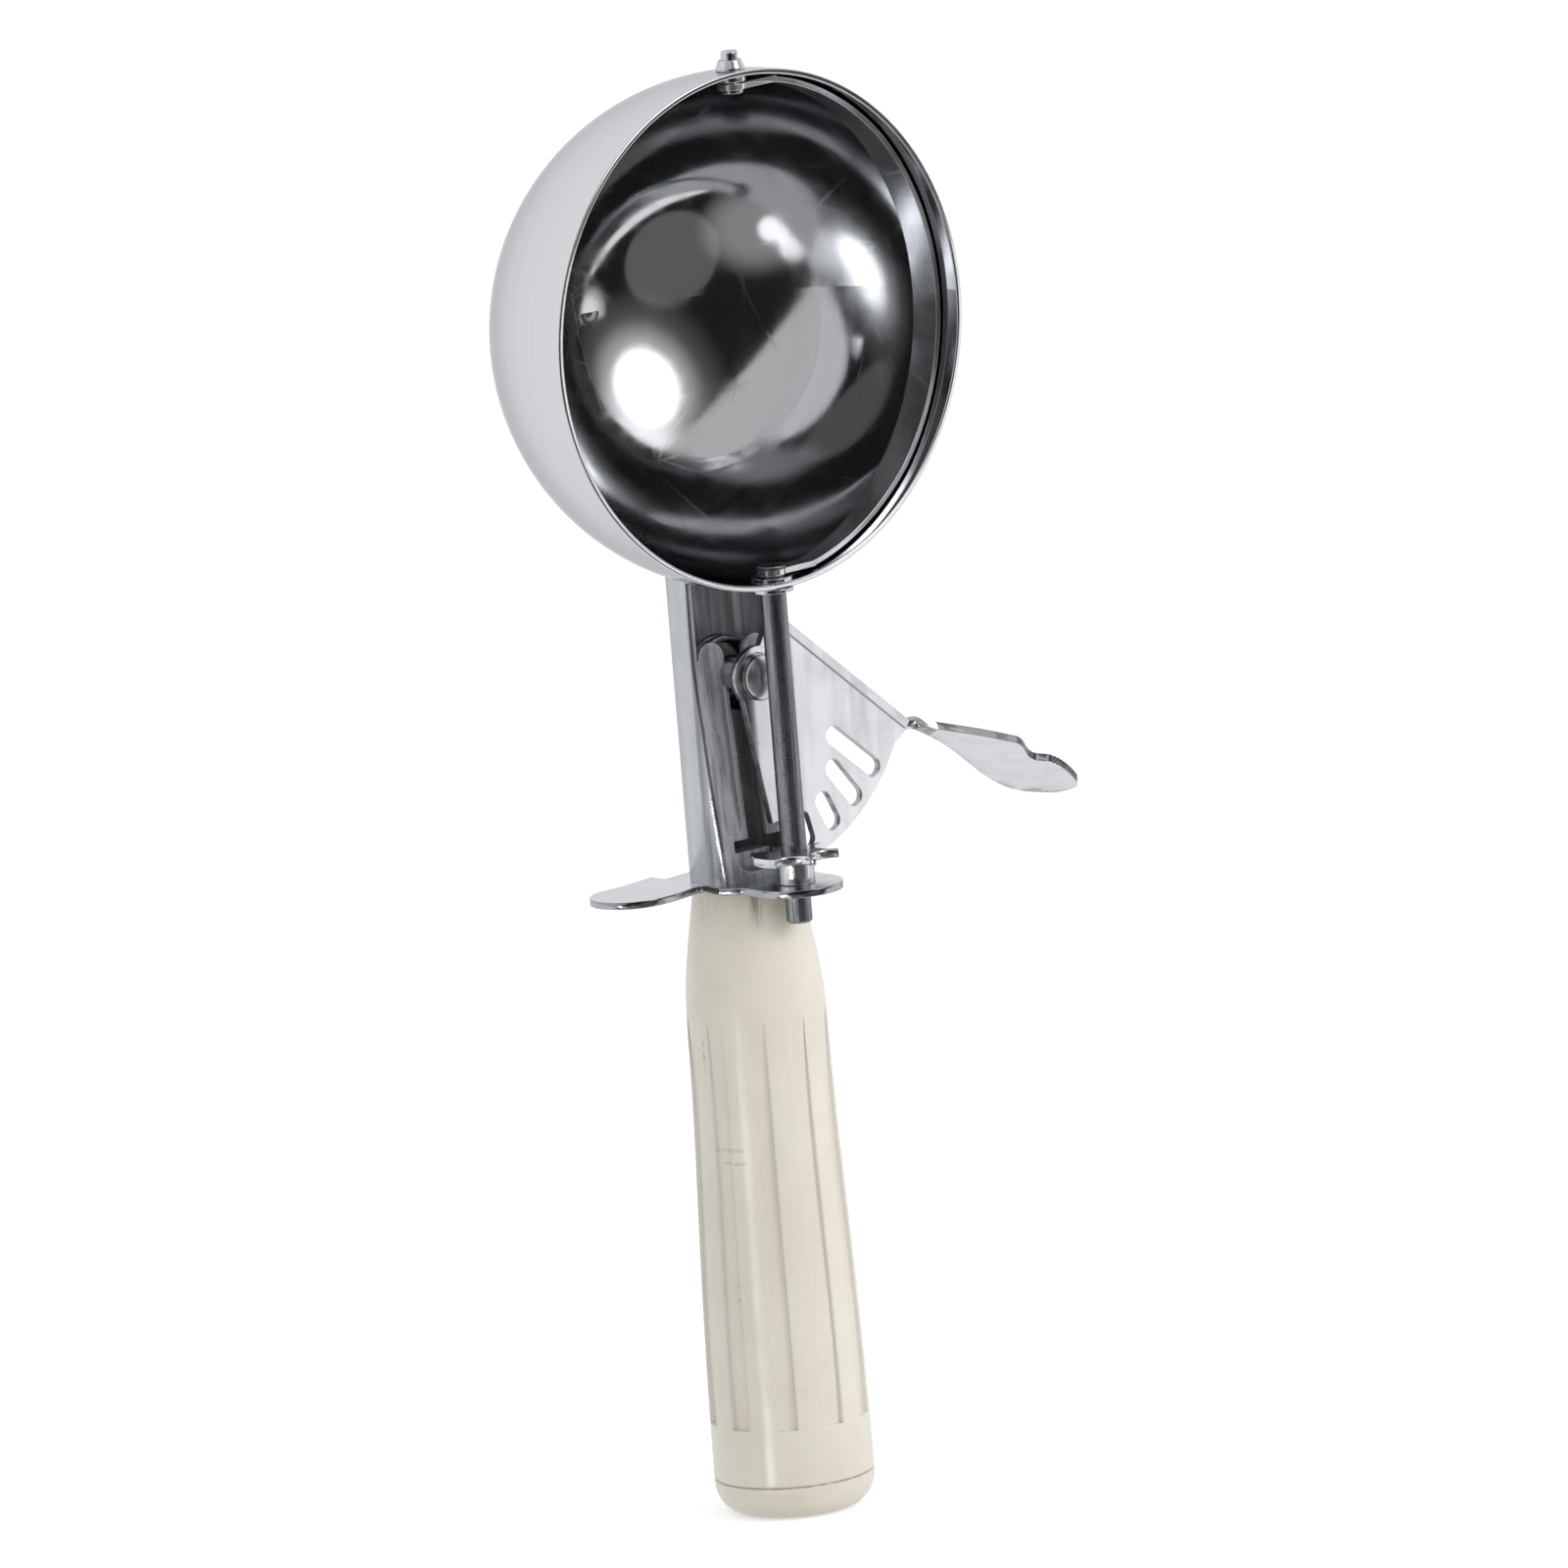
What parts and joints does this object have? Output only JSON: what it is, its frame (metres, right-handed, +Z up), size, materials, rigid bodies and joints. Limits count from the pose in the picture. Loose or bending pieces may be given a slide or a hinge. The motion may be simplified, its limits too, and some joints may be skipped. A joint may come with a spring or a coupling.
{
  "type": "thumb lever ice cream scoop",
  "caption": "Round bowl scoop whose thumb lever turns a slotted fan plate, star pinion and spindle, so that a thin blade sweeps the bowl; fluted ivory grip.",
  "frame": {"origin": "centre of the grip's flat butt end", "axes": "+Z up the handle to the bowl, the bowl opens towards -Y, the thumb lever stands out towards +X"},
  "size_m": [0.1009, 0.047, 0.2283],
  "materials": {
    "polished_steel": "mirror polished stainless steel",
    "blade_steel": "polished spring steel strip",
    "plated_steel": "bright pressed steel with draw marks",
    "stamped_steel": "bright stamped sheet with fine grain",
    "turned_steel": "turned steel",
    "rod_steel": "drawn rod with dark mottling",
    "rivet_steel": "polished round head",
    "spring_wire": "dark drawn wire",
    "ivory_plastic": "moulded ivory plastic, worn satin gloss"
  },
  "bodies": {
    "frame": {"bowl": "polished_steel", "top_collar": "turned_steel", "bottom_bush": "turned_steel", "guard_bush": "turned_steel", "shank": "plated_steel", "guard_plate": "stamped_steel", "pivot_rivet": "rivet_steel", "pivot_spacer": "turned_steel", "pivot_washer": "stamped_steel", "return_spring": "spring_wire", "handle_grip": "ivory_plastic", "butt_cap": "ivory_plastic", "tang": "stamped_steel"},
    "lever": {"thumb_lever": "stamped_steel"},
    "sweep": {"sweep_blade": "blade_steel", "top_pin": "turned_steel", "spindle": "rod_steel", "pinion": "stamped_steel", "pinion_sleeve": "rod_steel"}
  },
  "joints": [
    {"name": "lever_turn", "type": "hinge", "parent": "frame", "child": "lever", "pos_m": [0, -0.0068, 0.1312], "axis": [0, 1, 0], "range_deg": [0, 32.2], "stiffness_Nm_per_rad": 0.8, "springref_deg": -22.92},
    {"name": "sweep_turn", "type": "hinge", "parent": "frame", "child": "sweep", "pos_m": [0, -0.0123, 0.1854], "axis": [0, 0, 1], "range_deg": [0, 165.2]}
  ],
  "couplings": [
    {"joint": "sweep_turn", "follows": "lever_turn", "ratio": 5.128}
  ]
}
